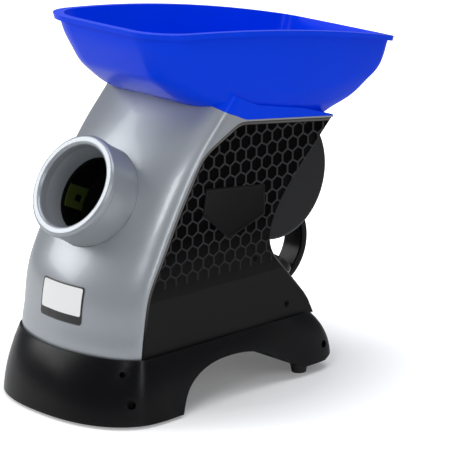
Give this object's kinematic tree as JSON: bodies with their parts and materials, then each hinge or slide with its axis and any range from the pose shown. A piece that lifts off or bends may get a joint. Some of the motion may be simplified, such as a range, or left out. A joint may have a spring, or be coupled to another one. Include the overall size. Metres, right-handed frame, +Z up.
{
  "type": "automatic ball launcher",
  "caption": "Automatic ball launcher for dogs: tilted barrel, open ball hopper, spring striker wound by a motor and gears, carrying handle.",
  "frame": {"origin": "bottom centre of the whole launcher, on the surface it stands on", "axes": "+Z up; the barrel points to -Y and the carrying handle is at +Y; +X is the launcher's left-right axis, with the power rocker on the -X side and the distance dial on the +X side"},
  "size_m": [0.1969, 0.4015, 0.3562],
  "materials": {
    "silver_plastic": "smooth silver-grey moulding with a soft gloss",
    "blue_plastic": "glossy royal blue",
    "black_plastic": "fine satin grain",
    "panel_black": "satin, with a raised honeycomb",
    "dark_grey_plastic": "satin",
    "white_plastic": "natural acetal",
    "foot_rubber": "matt",
    "steel": "bright zinc",
    "plate_steel": "zinc-plated sheet",
    "brass": "bright",
    "cell_wrap": "printed can with a plain wrap",
    "contact_metal": "nickel-plated",
    "board_green": "solder resist"
  },
  "bodies": {
    "launcher_body": {"base_skirt": "black_plastic", "base_screws": "steel", "base_floor": "black_plastic", "battery_door": "black_plastic", "battery_door_screw": "steel", "battery_box": "black_plastic", "battery_cells": "cell_wrap", "battery_contacts": "contact_metal", "rubber_feet": "foot_rubber", "front_shell": "silver_plastic", "right_side_panel": "panel_black", "left_side_panel": "panel_black", "panel_screws": "steel", "launch_barrel": "silver_plastic", "launch_tube": "black_plastic", "feed_chute": "black_plastic", "sensor_pin": "steel", "ball_sensor_switch": "black_plastic", "hopper": "blue_plastic", "hopper_screws": "steel", "rear_cover_right": "black_plastic", "rear_cover_left": "black_plastic", "chassis_plate_right": "plate_steel", "chassis_plate_left": "plate_steel", "tube_cap": "black_plastic", "stop_ring": "foot_rubber", "intermediate_shaft": "steel", "drive_motor": "plate_steel", "motor_bracket": "plate_steel", "bearing_bushes": "brass", "gear_housing_right": "dark_grey_plastic", "gear_housing_left": "dark_grey_plastic", "carry_handle": "black_plastic", "switch_housing": "black_plastic", "dial_encoder": "black_plastic", "dc_jack": "black_plastic", "control_board": "board_green"},
    "sensor_lever": {"ball_sensor_lever": "white_plastic"},
    "striker_slider": {"striker": "dark_grey_plastic", "launch_spring": "steel"},
    "crank": {"crank_gear": "white_plastic", "crank_shaft": "steel", "crank_arm": "steel", "crank_roller": "white_plastic"},
    "intermediate_gear": {"intermediate_gear_small": "steel", "intermediate_gear_large": "white_plastic"},
    "motor_rotor": {"motor_pinion": "brass", "motor_shaft": "steel"},
    "power_rocker": {"power_switch": "panel_black"},
    "dial_knob": {"distance_dial": "dark_grey_plastic"}
  },
  "joints": [
    {"name": "sensor_lever_pivot", "type": "hinge", "parent": "launcher_body", "child": "sensor_lever", "pos_m": [0, -0.07373, 0.234], "axis": [-1, 0, 0], "range_deg": [0, 20], "stiffness_Nm_per_rad": 0.004, "springref_deg": -11.46},
    {"name": "striker_slide", "type": "slide", "parent": "launcher_body", "child": "striker_slider", "axis": [0, 0.8572, -0.515], "range_m": [0, 0.044], "stiffness_N_per_m": 900, "springref_m": -0.01, "deforming": ["launch_spring"]},
    {"name": "crank_spin", "type": "hinge", "parent": "launcher_body", "child": "crank", "pos_m": [0, 0.04542, 0.1617], "axis": [1, 0, 0], "continuous": true},
    {"name": "intermediate_spin", "type": "hinge", "parent": "launcher_body", "child": "intermediate_gear", "pos_m": [0, 0.0696, 0.187], "axis": [1, 0, 0], "continuous": true},
    {"name": "motor_spin", "type": "hinge", "parent": "launcher_body", "child": "motor_rotor", "pos_m": [0, 0.09258, 0.20628], "axis": [1, 0, 0], "continuous": true},
    {"name": "power_rocker_tilt", "type": "hinge", "parent": "launcher_body", "child": "power_rocker", "pos_m": [-0.06, 0.03783, 0.10594], "axis": [1, 0, 0], "range_deg": [-7, 7]},
    {"name": "distance_dial_turn", "type": "hinge", "parent": "launcher_body", "child": "dial_knob", "pos_m": [0.06, 0.043, 0.1025], "axis": [0, 0.7493, 0.6622], "range_deg": [0, 270]}
  ],
  "couplings": [
    {"joint": "intermediate_spin", "follows": "crank_spin", "ratio": -3.375},
    {"joint": "motor_spin", "follows": "crank_spin", "ratio": 10.125}
  ]
}
